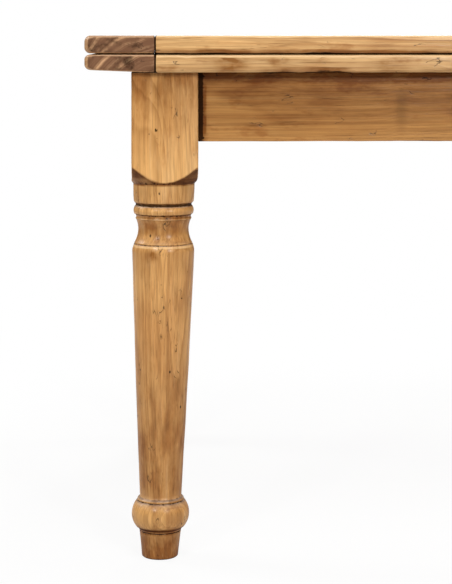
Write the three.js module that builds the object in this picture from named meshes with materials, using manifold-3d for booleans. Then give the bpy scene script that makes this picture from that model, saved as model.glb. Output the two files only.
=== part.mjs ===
// Extendable dining table in waxed pine: a draw-leaf table on four turned legs.
//
// A fixed top lies over two leaves. Each leaf is carried by two long bearers that run through
// notches in the end apron and in two cross rails, and it draws out from under the top.
//
// Units are millimetres. +X runs along the table to its right end, -Y is the front and +Z is up.
// The origin is on the floor, under the middle of the top.

import * as THREE from 'three';
import { mergeVertices } from 'three/addons/utils/BufferGeometryUtils.js';
import Module from 'manifold-3d';

const wasm = await Module();
wasm.setup();

// ---------------------------------------------------------------------------
// Driving dimensions
// ---------------------------------------------------------------------------

// Whole table, closed
const tableLength = 1600;
const tableDepth = 900;
const tableHeight = 770;

// Clearances
const seatGap = 0.25; // between two pieces that are fixed to each other
const runGap = 0.5; // between two pieces that slide past each other
const slabGap = 2; // between the top and the leaves under it

// Top, leaves and the board between the leaves
const topThickness = 25;
const leafThickness = 25.5;
const leafLength = 550;
const leafTravel = 450;
const boardCount = 5; // field boards across the depth
const endBoardWidth = 100; // breadboard ends
const endCornerRound = 9; // worn corners and lower edge of the breadboard ends
const topEdgeRound = 3; // long edges of the top, and its upper end edge
const leafEdgeRound = 5; // long edges of the leaves and the centre board
const jointEase = 1; // eased edges where two boards meet
const leafEndTaper = 4; // how far a leaf's underside rises to its outer end
const tongueThickness = 8;
const tongueLength = 15;
const tongueInset = 24; // the tongue and its groove stop this far from the long edges
const pegInset = 64; // the two pegs that locate the top, from the ends of the centre board
const pegRadius = 11;
const pegRise = 14; // how far a peg stands into the top
const pegBevel = 2;
const pegSides = 24;

// Underframe
const endOverhang = 66; // top past the outer face of the legs, at the ends
const frontOverhang = 20; // top past the outer face of the legs, front and back
const apronHeight = 100;
const apronThickness = 22;
const apronSetback = 16; // apron face behind the leg face
const apronArris = 2;
const tenonLength = 40;
const tenonThickness = 10;
const tenonTopShoulder = 12;
const tenonBottomShoulder = 8;
const crossRailX = 100; // middle of each cross rail from the middle of the table
const crossRailHeight = 80;
const crossRailThickness = 25;
const stubLength = 10; // stub tenons of the cross rails
const stubThickness = 12;
const stubHeight = 24;
const braceThickness = 28; // corner braces
const braceFootGap = 3; // from the lower edge of the aprons up to the braces
const braceHeadGap = 6; // from the braces up to the bearers

// Bearers and their stops
const bearerWidth = 30;
const bearerHeight = 45;
const bearerSpacing = 30; // free space between the bearers of the two leaves, side by side
const bearerEndInset = 1; // outer end of a bearer behind the face of the end apron
const tailRelief = 1.2; // the tail of a bearer is planed down to run under the centre board
const tailHold = 18; // tail left beyond the cross rail when the leaf is right out
const tailBevel = 8;
const stopLength = 30;
const stopWidth = 20;
const stopHeight = 38;
const stopBevel = 3;
const stopToLeg = 10; // free space between the outer stops and the legs, with the leaf drawn out

// Legs: a square block over a turned shaft. Radii of the turning, from the floor up.
const legBlockWidth = 96;
const legBlockHeight = 164;
const legBlockArris = 1.5;
const shoulderSlope = 1.1; // rise over run of the turned-off corners under the block
const padRadius = 26.8; // foot pad at the floor
const padTopRadius = 30.6;
const padHeight = 37.4;
const padEase = 2; // worn lower edge of the foot pad
const heelLine = 0.5; // depth of the fine line cut in over the pad
const heelHeight = 1.4;
const heelCoveRadius = 31.2; // foot of the cove that runs up to the ball
const heelCoveHeight = 5;
const heelCoveDepth = 0.5; // how far the cove is hollowed
const ballRadius = 42.5;
const ballCoreRadius = 20; // the ball's outline is two quarters of an ellipse that stand on this radius
const ballCentre = 62.5;
const ballRise = 28; // half height of the upper quarter's ellipse
const ballDrop = 26;
const collarFoot = 83.2; // height of the collar between the ball and the shaft
const collarRadius = 34.4;
const collarHeight = 5.4;
const collarRound = 0.5;
const collarLine = 0.8; // depth of the fine line under the collar
const collarLineHeight = 0.8;
const ankleRadius = 31; // foot of the tapered shaft, over the collar
const vaseRadius = 45.9; // widest point of the tapered shaft
const taperSwell = 0.5; // how far the taper bows out from a straight line
const turningSides = 24;

// Upper turnings, measured down from the underside of the block
const shoulderRadius = 44.4; // where the shaft enters the block
const bandHeight = 26.8;
const bandTopRadius = 45.4;
const bandFootRadius = 44.2;
const quirkDepth = 2.4; // sharp groove between the band and the bead
const quirkHeight = 5.7;
const beadHeadRadius = 42.8;
const beadRadius = 44.6;
const beadFootRadius = 43.9;
const beadHeight = 11.2;
const beadCoveRadius = 41.8; // hollow under the bead
const beadCoveHeight = 6.4;
const filletRadius = 42.1; // thin ridge between the hollow and the neck
const filletHeight = 1;
const neckTopRadius = 41.2;
const neckRadius = 37.9;
const neckHeight = 38.5;
const neckFootRadius = 43;
const neckLine = 0.8; // depth of the fine line cut in at the foot of the neck
const neckLineHeight = 1.6;
const vaseHeadRadius = 43.4;
const vaseShoulder = 11; // from the fine line down to the widest point
const spigotHeight = 8; // how far the turned stock is carried up inside the block

// ---------------------------------------------------------------------------
// Sizes that follow from them
// ---------------------------------------------------------------------------

const topUnder = tableHeight - topThickness;
const leafTop = topUnder - slabGap;
const leafUnder = leafTop - leafThickness;
const frameTop = leafUnder - runGap;
const apronUnder = frameTop - apronHeight;
const blockUnder = frameTop - legBlockHeight;
const halfBlock = legBlockWidth / 2;
const legX = tableLength / 2 - endOverhang - halfBlock;
const legY = tableDepth / 2 - frontOverhang - halfBlock;
const apronCentre = halfBlock - apronSetback - apronThickness / 2; // from a leg's axis outwards
const apronInner = apronCentre - apronThickness / 2;
const endApronInnerX = legX + apronInner;
const longApronInnerY = legY + apronInner;
const tenonHeight = apronHeight - tenonTopShoulder - tenonBottomShoulder;
const bearerTop = leafUnder - seatGap;
const bearerUnder = bearerTop - bearerHeight;
const notchDepth = frameTop - (bearerUnder - runGap); // notches for the bearers, from the top
const rightBearerY = legY - halfBlock - stopToLeg - stopWidth - seatGap - bearerWidth / 2;
const leftBearerY = rightBearerY - bearerWidth - bearerSpacing;
const stubFoot = (crossRailHeight - notchDepth - stubHeight) / 2; // above the foot of a cross rail
const leafInnerX = tableLength / 2 - leafLength; // inner end of each leaf, from the middle
const centreHalfLength = leafInnerX - runGap;
const pegX = centreHalfLength - pegInset;
const centreUnder = frameTop + seatGap;
const centreThickness = topUnder - seatGap - centreUnder;
const fieldWidth = tableDepth / boardCount;

// ---------------------------------------------------------------------------
// Finishes
// ---------------------------------------------------------------------------

const pine = (color, roughness) => new THREE.MeshStandardMaterial({ color, roughness, metalness: 0 });
const finish = {
  fieldBoards: pine(0xc08a4a, 0.5),
  endBoards: pine(0x8f5a2a, 0.55),
  legs: pine(0xb07838, 0.5),
  aprons: pine(0xb5803f, 0.55),
  innerFrame: pine(0xc9a36a, 0.75),
  bearers: pine(0xc49a5e, 0.7),
};

// ---------------------------------------------------------------------------
// Solids
// ---------------------------------------------------------------------------

/** A closed three.js geometry as a solid that can be cut and joined. */
function solidOf(geometry) {
  geometry.deleteAttribute('normal');
  geometry.deleteAttribute('uv');
  const merged = mergeVertices(geometry, 1e-4);
  const corners = merged.index.array;
  const faces = [];
  for (let i = 0; i < corners.length; i += 3) {
    const [a, b, c] = [corners[i], corners[i + 1], corners[i + 2]];
    if (a !== b && b !== c && c !== a) faces.push(a, b, c);
  }
  return new wasm.Manifold(new wasm.Mesh({
    numProp: 3,
    vertProperties: new Float32Array(merged.attributes.position.array),
    triVerts: new Uint32Array(faces),
  }));
}

/** A solid back as a three.js geometry. */
function geometryOf(solid) {
  const { vertProperties, triVerts } = solid.getMesh();
  const geometry = new THREE.BufferGeometry();
  geometry.setAttribute('position', new THREE.BufferAttribute(new Float32Array(vertProperties), 3));
  geometry.setIndex(new THREE.BufferAttribute(new Uint32Array(triVerts), 1));
  geometry.computeVertexNormals();
  return geometry;
}

/** A closed outline through corners [x, y, round], each corner eased by its round. */
function outline(corners) {
  const shape = new THREE.Shape();
  const at = (i) => corners[(i + corners.length) % corners.length];
  const towards = ([x, y], [tx, ty], distance) => {
    const share = distance / Math.hypot(tx - x, ty - y);
    return [x + (tx - x) * share, y + (ty - y) * share];
  };
  corners.forEach(([x, y, round = 0], i) => {
    const before = towards([x, y], at(i - 1), round);
    const after = towards([x, y], at(i + 1), round);
    if (i === 0) shape.moveTo(...before);
    else shape.lineTo(...before);
    if (round > 0) shape.quadraticCurveTo(x, y, ...after);
  });
  shape.closePath();
  return shape;
}

/** An outline in XY raised along +Z from z0 to z1. */
function prismZ(corners, z0, z1, curveSegments = 4) {
  const geometry = new THREE.ExtrudeGeometry(outline(corners), {
    depth: z1 - z0,
    bevelEnabled: false,
    curveSegments,
  });
  geometry.translate(0, 0, z0);
  return solidOf(geometry);
}

/** A section in YZ run along X from x0 to x1. */
function prismX(corners, x0, x1, curveSegments = 4) {
  const toX = new THREE.Matrix4().makeBasis(
    new THREE.Vector3(0, 1, 0),
    new THREE.Vector3(0, 0, 1),
    new THREE.Vector3(1, 0, 0),
  );
  return prismZ(corners, x0, x1, curveSegments).transform(toX.elements);
}

/** A side view in XZ run along Y from y0 to y1. */
function prismY(corners, y0, y1, curveSegments = 4) {
  const toY = new THREE.Matrix4().makeBasis(
    new THREE.Vector3(1, 0, 0),
    new THREE.Vector3(0, 0, 1),
    new THREE.Vector3(0, -1, 0),
  );
  return prismZ(corners, -y1, -y0, curveSegments).transform(toY.elements);
}

/** A plain block between two opposite corners. */
function block([x0, y0, z0], [x1, y1, z1]) {
  const geometry = new THREE.BoxGeometry(x1 - x0, y1 - y0, z1 - z0);
  geometry.translate((x0 + x1) / 2, (y0 + y1) / 2, (z0 + z1) / 2);
  return solidOf(geometry);
}

/** A turning about the Z axis, from [radius, height] points that start and end on the axis. */
function turning(points, sides = turningSides) {
  const profile = points.map(([radius, height]) => new THREE.Vector2(radius, height));
  const geometry = new THREE.LatheGeometry(profile, sides, Math.PI / sides);
  geometry.rotateX(Math.PI / 2);
  return solidOf(geometry);
}

/** A named sub-part at its place. */
function subPart(name, solid, material, [x, y, z] = [0, 0, 0], turn = 0) {
  const mesh = new THREE.Mesh(geometryOf(solid), material);
  mesh.name = name;
  mesh.position.set(x, y, z);
  mesh.rotation.z = turn;
  return mesh;
}

/** Corners of a rectangle, anticlockwise, with one round for each corner. */
function rectangle(x0, y0, x1, y1, [r00 = 0, r10 = 0, r11 = 0, r01 = 0] = []) {
  return [[x0, y0, r00], [x1, y0, r10], [x1, y1, r11], [x0, y1, r01]];
}

// ---------------------------------------------------------------------------
// Legs
// ---------------------------------------------------------------------------

/** Outline of the turned shaft, from the floor to a little way inside the block. */
function shaftProfile() {
  const bandFoot = blockUnder - bandHeight;
  const beadTop = bandFoot - quirkHeight;
  const beadFoot = beadTop - beadHeight;
  const filletTop = beadFoot - beadCoveHeight;
  const neckTop = filletTop - filletHeight;
  const neckFoot = neckTop - neckHeight;
  const vaseHead = neckFoot - neckLineHeight;
  const vaseHeight = vaseHead - vaseShoulder;
  const ankleHeight = collarFoot + collarHeight;
  const points = [[0, 0], [padRadius - padEase, 0], [padRadius, padEase], [padTopRadius, padHeight]];

  const coveFoot = padHeight + heelHeight;
  const ballFoot = coveFoot + heelCoveHeight;
  const ballAt = (height) => {
    const share = (height - ballCentre) / (height > ballCentre ? ballRise : ballDrop);
    return ballCoreRadius + (ballRadius - ballCoreRadius) * Math.sqrt(1 - share * share);
  };
  points.push([padTopRadius - heelLine, padHeight + heelHeight / 2], [heelCoveRadius, coveFoot]);
  points.push([(heelCoveRadius + ballAt(ballFoot)) / 2 - heelCoveDepth, coveFoot + heelCoveHeight / 2]);
  const ballSteps = 8;
  for (let i = 0; i <= ballSteps; i += 1) {
    const height = ballFoot + ((collarFoot - ballFoot) * i) / ballSteps;
    points.push([ballAt(height), height]);
  }

  points.push([collarRadius - collarLine, collarFoot + collarLineHeight / 2]);
  points.push([collarRadius, collarFoot + collarLineHeight]);
  points.push([(collarRadius + ankleRadius) / 2 + collarRound, collarFoot + collarHeight * 0.7]);
  points.push([ankleRadius, ankleHeight]);
  const taperSteps = 4;
  for (let i = 1; i <= taperSteps; i += 1) {
    const share = i / taperSteps;
    const swell = taperSwell * Math.sin(Math.PI * share);
    points.push([ankleRadius + (vaseRadius - ankleRadius) * share + swell,
      ankleHeight + (vaseHeight - ankleHeight) * share]);
  }

  const shoulderSteps = 3;
  for (let i = 1; i <= shoulderSteps; i += 1) {
    const angle = (Math.PI / 2) * (1 - i / shoulderSteps);
    points.push([vaseHeadRadius + (vaseRadius - vaseHeadRadius) * Math.sin(angle),
      vaseHeight + vaseShoulder * Math.cos(angle)]);
  }
  points.push([neckFootRadius - neckLine, (vaseHead + neckFoot) / 2], [neckFootRadius, neckFoot]);
  const neckSteps = 6;
  const neckPull = 2 * neckRadius - (neckFootRadius + neckTopRadius) / 2;
  const neck = new THREE.QuadraticBezierCurve(
    new THREE.Vector2(neckFootRadius, neckFoot),
    new THREE.Vector2(neckPull, neckFoot + neckHeight / 2),
    new THREE.Vector2(neckTopRadius, neckTop),
  );
  for (let i = 1; i <= neckSteps; i += 1) {
    const { x, y } = neck.getPoint(i / neckSteps);
    points.push([x, y]);
  }

  points.push([filletRadius, filletTop - filletHeight / 3], [filletRadius, filletTop]);
  points.push([beadCoveRadius, filletTop + beadCoveHeight / 3]);
  points.push([beadCoveRadius, filletTop + (beadCoveHeight * 2) / 3]);
  const beadSteps = 4;
  const bulge = beadRadius - (beadHeadRadius + beadFootRadius) / 2;
  for (let i = 0; i <= beadSteps; i += 1) {
    const share = i / beadSteps;
    const seat = beadFootRadius + (beadHeadRadius - beadFootRadius) * share;
    points.push([seat + bulge * Math.sin(Math.PI * share), beadFoot + beadHeight * share]);
  }
  points.push([bandFootRadius - quirkDepth, beadTop + quirkHeight / 2], [bandFootRadius, bandFoot]);
  points.push([bandTopRadius, blockUnder - bandHeight / 3], [shoulderRadius, blockUnder]);
  points.push([shoulderRadius, blockUnder + spigotHeight], [0, blockUnder + spigotHeight]);
  return points;
}

/** One leg about its own axis, with mortises for the aprons in its +X and +Y faces. */
function legSolid() {
  const corner = Math.hypot(halfBlock, halfBlock) + 1;
  const rise = (corner - shoulderRadius) * shoulderSlope;
  const square = prismZ(
    rectangle(-halfBlock, -halfBlock, halfBlock, halfBlock, Array(4).fill(legBlockArris)),
    blockUnder,
    frameTop,
    1,
  );
  const turnedOff = turning([[0, blockUnder], [shoulderRadius, blockUnder], [corner, blockUnder + rise],
    [corner, frameTop], [0, frameTop]]);
  const mortiseFloor = halfBlock - tenonLength - seatGap;
  const halfMortise = tenonThickness / 2 + seatGap;
  const mortiseFoot = apronUnder + tenonBottomShoulder - seatGap;
  const mortiseHead = frameTop - tenonTopShoulder + seatGap;
  const intoX = block([mortiseFloor, -apronCentre - halfMortise, mortiseFoot],
    [halfBlock + 1, -apronCentre + halfMortise, mortiseHead]);
  const intoY = block([-apronCentre - halfMortise, mortiseFloor, mortiseFoot],
    [-apronCentre + halfMortise, halfBlock + 1, mortiseHead]);
  return turning(shaftProfile()).add(square.intersect(turnedOff)).subtract(intoX).subtract(intoY);
}

/** The block across the inside of a leg's corner, under the bearers. It is placed as the leg is. */
function braceSolid() {
  const outer = legBlockWidth + seatGap * Math.SQRT2; // x + y along its outer face
  const inner = outer + braceThickness * Math.SQRT2; // x + y along its inner face
  const face = -apronInner + seatGap; // both aprons' inner faces, from the leg's axis
  return prismZ([[outer - face, face], [inner - face, face], [face, inner - face], [face, outer - face]],
    apronUnder + braceFootGap, bearerUnder - braceHeadGap);
}

/** The four corners, each as its place and its turn. */
const corners = [
  { where: 'front_left', x: -legX, y: -legY, turn: 0 },
  { where: 'front_right', x: legX, y: -legY, turn: Math.PI / 2 },
  { where: 'back_right', x: legX, y: legY, turn: Math.PI },
  { where: 'back_left', x: -legX, y: legY, turn: -Math.PI / 2 },
];

// ---------------------------------------------------------------------------
// Aprons and cross rails
// ---------------------------------------------------------------------------

/** An apron along X with a tenon at each end; its middle is at the origin, its foot at z = 0. */
function apronSolid(clearLength) {
  const half = clearLength / 2 - seatGap;
  const halfThickness = apronThickness / 2;
  const board = prismX(
    rectangle(-halfThickness, 0, halfThickness, apronHeight, [apronArris, apronArris, 0, 0]),
    -half,
    half,
    2,
  );
  const tenons = block(
    [-half - tenonLength, -tenonThickness / 2, tenonBottomShoulder],
    [half + tenonLength, tenonThickness / 2, tenonBottomShoulder + tenonHeight],
  );
  return board.add(tenons);
}

/** A front or back apron, with mortises in its +Y face for the stub tenons of the cross rails. */
function longApronSolid() {
  const foot = apronHeight - crossRailHeight + stubFoot;
  const halfMortise = stubThickness / 2 + seatGap;
  let apron = apronSolid(2 * (legX - halfBlock));
  for (const x of [-crossRailX, crossRailX]) {
    apron = apron.subtract(block(
      [x - halfMortise, apronThickness / 2 - stubLength - seatGap, foot - seatGap],
      [x + halfMortise, apronThickness / 2 + 1, foot + stubHeight + seatGap],
    ));
  }
  return apron;
}

/** An end apron, notched for one leaf's bearers. */
function endApronSolid(bearerY) {
  let apron = apronSolid(2 * (legY - halfBlock));
  for (const y of [-bearerY, bearerY]) {
    apron = apron.subtract(block(
      [y - bearerWidth / 2 - runGap, -apronThickness, apronHeight - notchDepth],
      [y + bearerWidth / 2 + runGap, apronThickness, apronHeight + 1],
    ));
  }
  return apron;
}

/** A cross rail along Y, notched for the bearers of both leaves; its foot is at z = 0. */
function crossRailSolid() {
  const half = longApronInnerY - seatGap;
  const halfThickness = crossRailThickness / 2;
  let rail = block([-halfThickness, -half, 0], [halfThickness, half, crossRailHeight]);
  rail = rail.add(block(
    [-stubThickness / 2, -half - stubLength, stubFoot],
    [stubThickness / 2, half + stubLength, stubFoot + stubHeight],
  ));
  for (const y of [-rightBearerY, -leftBearerY, leftBearerY, rightBearerY]) {
    rail = rail.subtract(block(
      [-crossRailThickness, y - bearerWidth / 2 - runGap, crossRailHeight - notchDepth],
      [crossRailThickness, y + bearerWidth / 2 + runGap, crossRailHeight + 1],
    ));
  }
  return rail;
}

// ---------------------------------------------------------------------------
// Boards of the top and the leaves
// ---------------------------------------------------------------------------

/** Section of field board i in YZ; the outer boards have their long edge rounded. */
function fieldSection(i, thickness, edgeRound) {
  const y0 = -tableDepth / 2 + i * fieldWidth + (i > 0 ? seatGap / 2 : 0);
  const y1 = -tableDepth / 2 + (i + 1) * fieldWidth - (i < boardCount - 1 ? seatGap / 2 : 0);
  const front = i === 0 ? edgeRound : jointEase;
  const back = i === boardCount - 1 ? edgeRound : jointEase;
  return rectangle(y0, 0, y1, thickness, [front, back, back, front]);
}

/** Tongue of field board i, between x0 and x1. */
function tongue(i, thickness, x0, x1) {
  const inset = (outer) => (outer ? tongueInset : jointEase);
  const y0 = -tableDepth / 2 + i * fieldWidth + inset(i === 0);
  const y1 = -tableDepth / 2 + (i + 1) * fieldWidth - inset(i === boardCount - 1);
  const foot = (thickness - tongueThickness) / 2;
  return block([x0, y0, foot], [x1, y1, foot + tongueThickness]);
}

/** Field board i from x0 to x1, with tongues past the ends that are asked for. */
function fieldBoardSolid(i, thickness, edgeRound, x0, x1, tongueAtEnd) {
  const start = x0 - tongueLength;
  const end = tongueAtEnd ? x1 + tongueLength : x1 - tongueLength;
  return prismX(fieldSection(i, thickness, edgeRound), x0, x1, 3).add(tongue(i, thickness, start, end));
}

/** A left breadboard end. Its inner edge is at x = 0, and its underside rises by taper to its end. */
function endBoardSolid(thickness, taper, upperRound, lowerRound, edgeRound) {
  const halfDepth = tableDepth / 2;
  const side = prismY([[-endBoardWidth, taper, lowerRound], [0, 0, jointEase], [0, thickness, jointEase],
    [-endBoardWidth, thickness, upperRound]], -halfDepth, halfDepth, 4);
  const plan = prismZ(rectangle(-endBoardWidth, -halfDepth, 0, halfDepth,
    [endCornerRound, jointEase, jointEase, endCornerRound]), -1, thickness + 1, 4);
  const section = prismX(rectangle(-halfDepth, 0, halfDepth, thickness, Array(4).fill(edgeRound)),
    -endBoardWidth - 1, 1, 3);
  const grooveFoot = (thickness - tongueThickness) / 2 - seatGap;
  const grooveHalf = halfDepth - tongueInset + seatGap;
  const groove = block([-tongueLength - 2 * seatGap, -grooveHalf, grooveFoot],
    [1, grooveHalf, grooveFoot + tongueThickness + 2 * seatGap]);
  return side.intersect(plan).intersect(section).subtract(groove);
}

/** A solid with a hole for each of the two pegs, from z0 to z1. */
function drilledForPegs(solid, z0, z1) {
  const radius = pegRadius + seatGap;
  const drill = turning([[0, z0], [radius, z0], [radius, z1], [0, z1]], pegSides);
  return solid.subtract(drill.translate([-pegX, 0, 0])).subtract(drill.translate([pegX, 0, 0]));
}

/** The board between the leaves, which carries the top. Its underside is at z = 0. */
function centreBoardSolid() {
  const halfDepth = tableDepth / 2;
  const board = prismX(rectangle(-halfDepth, 0, halfDepth, centreThickness, Array(4).fill(leafEdgeRound)),
    -centreHalfLength, centreHalfLength, 3);
  return drilledForPegs(board, -1, centreThickness + 1);
}

/** A peg up through the centre board into the top, with its head bevelled. Its foot is at z = 0. */
function pegSolid() {
  const height = topUnder + pegRise - centreUnder;
  return turning([[0, 0], [pegRadius, 0], [pegRadius, height - pegBevel], [pegRadius - pegBevel, height],
    [0, height]], pegSides);
}

// ---------------------------------------------------------------------------
// Bearers and stops
// ---------------------------------------------------------------------------

const bearerOuterX = -(endApronInnerX + apronThickness - bearerEndInset);
const bearerInnerX = -crossRailX + crossRailThickness / 2 + tailHold + leafTravel;
const stopOuterX = -endApronInnerX + leafTravel + runGap;

/** A bearer along X: full height under the leaf, planed down beyond it. */
function bearerSolid() {
  const half = bearerWidth / 2;
  const headEnd = -leafInnerX - runGap;
  const tailTop = bearerHeight - tailRelief;
  return prismY([[bearerOuterX, 0], [bearerInnerX, 0], [bearerInnerX, tailTop - tailBevel],
    [bearerInnerX - tailBevel, tailTop], [headEnd, tailTop], [headEnd - tailBevel, bearerHeight],
    [bearerOuterX, bearerHeight]], -half, half);
}

/** A stop block, which meets the inner face of the end apron when the leaf is right out. */
function stopSolid() {
  return prismZ(rectangle(0, 0, stopLength, stopWidth, [0, 0, stopBevel, stopBevel]), 0, stopHeight, 1);
}

// ---------------------------------------------------------------------------
// Assembly
// ---------------------------------------------------------------------------

function underframe() {
  const frame = new THREE.Group();
  for (const { where, x, y, turn } of corners) {
    frame.add(subPart(`leg_${where}`, legSolid(), finish.legs, [x, y, 0], turn));
    frame.add(subPart(`corner_brace_${where}`, braceSolid(), finish.innerFrame, [x, y, 0], turn));
  }
  const apronX = legX + apronCentre;
  const apronY = legY + apronCentre;
  frame.add(
    subPart('front_apron', longApronSolid(), finish.aprons, [0, -apronY, apronUnder]),
    subPart('back_apron', longApronSolid(), finish.aprons, [0, apronY, apronUnder], Math.PI),
    subPart('left_apron', endApronSolid(leftBearerY), finish.aprons, [-apronX, 0, apronUnder], Math.PI / 2),
    subPart('right_apron', endApronSolid(rightBearerY), finish.aprons, [apronX, 0, apronUnder], -Math.PI / 2),
  );
  const railFoot = frameTop - crossRailHeight;
  frame.add(
    subPart('left_cross_rail', crossRailSolid(), finish.innerFrame, [-crossRailX, 0, railFoot]),
    subPart('right_cross_rail', crossRailSolid(), finish.innerFrame, [crossRailX, 0, railFoot]),
    subPart('centre_board', centreBoardSolid(), finish.fieldBoards, [0, 0, centreUnder]),
    subPart('left_peg', pegSolid(), finish.innerFrame, [-pegX, 0, centreUnder]),
    subPart('right_peg', pegSolid(), finish.innerFrame, [pegX, 0, centreUnder]),
  );
  return frame;
}

function top() {
  const group = new THREE.Group();
  const fieldHalf = tableLength / 2 - endBoardWidth - seatGap;
  for (let i = 0; i < boardCount; i += 1) {
    const plain = fieldBoardSolid(i, topThickness, topEdgeRound, -fieldHalf, fieldHalf, true);
    const board = drilledForPegs(plain, -1, pegRise + seatGap);
    group.add(subPart(`top_board_${i + 1}`, board, finish.fieldBoards, [0, 0, topUnder]));
  }
  const endX = tableLength / 2 - endBoardWidth;
  const end = endBoardSolid(topThickness, 0, topEdgeRound, endCornerRound, topEdgeRound);
  group.add(
    subPart('top_end_left', end, finish.endBoards, [-endX, 0, topUnder]),
    subPart('top_end_right', end, finish.endBoards, [endX, 0, topUnder], Math.PI),
  );
  return group;
}

/** A leaf drawn out towards -X. The right leaf is this one turned round, so its front is at +Y. */
function leaf(side) {
  const group = new THREE.Group();
  const turned = side === 'right';
  const bearerY = turned ? rightBearerY : leftBearerY;
  const endX = -tableLength / 2 + endBoardWidth;
  for (let i = 0; i < boardCount; i += 1) {
    const board = fieldBoardSolid(i, leafThickness, leafEdgeRound, endX + seatGap, -leafInnerX, false);
    const number = turned ? boardCount - i : i + 1;
    group.add(subPart(`${side}_leaf_board_${number}`, board, finish.fieldBoards, [0, 0, leafUnder]));
  }
  const end = endBoardSolid(leafThickness, leafEndTaper, endCornerRound, endCornerRound, leafEdgeRound);
  group.add(subPart(`${side}_leaf_end`, end, finish.endBoards, [endX, 0, leafUnder]));
  for (const sign of [-1, 1]) {
    const place = (sign < 0) === turned ? 'back' : 'front';
    const bearer = bearerSolid();
    group.add(subPart(`${side}_${place}_bearer`, bearer, finish.bearers, [0, sign * bearerY, bearerUnder]));
    const outwards = turned ? sign : -sign; // the stops keep out of the other leaf's bearers
    const faceY = sign * bearerY + outwards * (bearerWidth / 2 + seatGap);
    const turn = outwards > 0 ? 0 : Math.PI;
    const stopX = outwards > 0 ? stopOuterX : stopOuterX + stopLength;
    group.add(subPart(`${side}_${place}_stop`, stopSolid(), finish.innerFrame,
      [stopX, faceY, bearerTop - tailRelief - stopHeight], turn));
  }
  if (turned) group.rotation.z = Math.PI;
  return group;
}

const table = new THREE.Group();
table.name = 'extendable_dining_table';
table.add(underframe(), top(), leaf('left'), leaf('right'));

export default table;
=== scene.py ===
"""Looks of the extendable dining table: waxed pine boards, turned legs, bearers and screws.

Lengths are in metres, in the table's own frame: +X runs to its right end, -Y is the front, +Z is up.
"""

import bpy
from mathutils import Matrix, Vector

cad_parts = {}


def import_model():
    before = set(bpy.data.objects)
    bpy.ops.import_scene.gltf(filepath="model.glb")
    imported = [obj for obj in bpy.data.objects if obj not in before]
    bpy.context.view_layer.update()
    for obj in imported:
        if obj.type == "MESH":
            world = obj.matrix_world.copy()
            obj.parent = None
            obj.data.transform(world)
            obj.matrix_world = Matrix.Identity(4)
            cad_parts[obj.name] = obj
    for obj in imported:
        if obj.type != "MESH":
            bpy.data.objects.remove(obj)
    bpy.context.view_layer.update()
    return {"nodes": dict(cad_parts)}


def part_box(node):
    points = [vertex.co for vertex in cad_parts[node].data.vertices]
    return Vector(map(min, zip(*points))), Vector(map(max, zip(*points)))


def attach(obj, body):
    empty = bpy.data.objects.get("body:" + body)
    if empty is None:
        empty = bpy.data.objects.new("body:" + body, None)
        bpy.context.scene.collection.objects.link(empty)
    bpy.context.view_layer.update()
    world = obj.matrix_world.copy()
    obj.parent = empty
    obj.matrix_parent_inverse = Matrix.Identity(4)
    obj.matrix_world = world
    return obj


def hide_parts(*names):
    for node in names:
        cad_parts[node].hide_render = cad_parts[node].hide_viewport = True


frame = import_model()

import math

import bmesh
import bpy
import numpy as np
from mathutils import Matrix, Vector

MM = 0.001
scene = bpy.context.scene
rng = np.random.default_rng(7)

# ---- Sizes from the frame ----

CORNERS = {"front_left": (-1, -1), "front_right": (1, -1), "back_right": (1, 1), "back_left": (-1, 1)}
BLOCK_HEIGHT, BLOCK_LIFT = 164 * MM, 1.9 * MM

leg_low, leg_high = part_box("leg_front_left")
block_half = (leg_high.x - leg_low.x) / 2
leg_x, leg_y = (leg_low.x + leg_high.x) / 2, (leg_low.y + leg_high.y) / 2
frame_top = leg_high.z
block_foot = frame_top - BLOCK_HEIGHT + BLOCK_LIFT
front_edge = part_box("top_board_1")[0].y

# ---- Noise and numbers ----

MIXERS = (73856093, 19349663, 83492791)
SEED_MIXER, LAST_MIXER = 2654435, 1274126177
SEED_SHIFT = 17.13


def smooth_noise(points, size, seed):
    """Smooth noise from -1 to 1 at each point, with features about size across."""
    scaled = np.asarray(points, float) / size + seed * SEED_SHIFT
    cell = np.floor(scaled).astype(np.int64)
    share = scaled - cell
    share = share * share * (3 - 2 * share)
    total = np.zeros(len(scaled))
    for corner in np.ndindex(2, 2, 2):
        key = (cell + np.array(corner)) * MIXERS
        mixed = key[:, 0] ^ key[:, 1] ^ key[:, 2] ^ (seed * SEED_MIXER)
        mixed = (mixed ^ (mixed >> 13)) * LAST_MIXER
        value = ((mixed ^ (mixed >> 16)) & 0xFFFF) / (0xFFFF / 2) - 1
        total += value * np.prod(np.where(corner, share, 1 - share), axis=1)
    return total


def smooth_step(low, high, value):
    share = np.clip((value - low) / (high - low), 0, 1)
    return share * share * (3 - 2 * share)


def unit(values):
    """The values kept from 0 to 1."""
    return np.clip(values, 0, 1)


# ---- Pieces and their attributes ----

LOG_SPACING = 3.17


def link(name, data):
    """A new object at the origin, in the scene."""
    made = bpy.data.objects.new(name, data)
    scene.collection.objects.link(made)
    return made


def mesh_object(name, verts, faces):
    """A smooth-shaded object at the origin, with its place in its mesh."""
    mesh = bpy.data.meshes.new(name)
    mesh.from_pydata([tuple(v) for v in verts], [], faces)
    mesh.validate()
    mesh.shade_smooth()
    return link(name, mesh)


def rows_of(mesh, name="co"):
    """The place or the normal of each point."""
    rows = np.zeros(len(mesh.vertices) * 3, np.float32)
    mesh.vertices.foreach_get(name, rows)
    return rows.reshape(-1, 3).astype(float)


def store(mesh, name, values):
    """Stores a number or a vector for each point."""
    values = np.ascontiguousarray(values, np.float32)
    kind, key = ("FLOAT", "value") if values.ndim == 1 else ("FLOAT_VECTOR", "vector")
    mesh.attributes.new(name, kind, "POINT").data.foreach_set(key, values.ravel())


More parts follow.
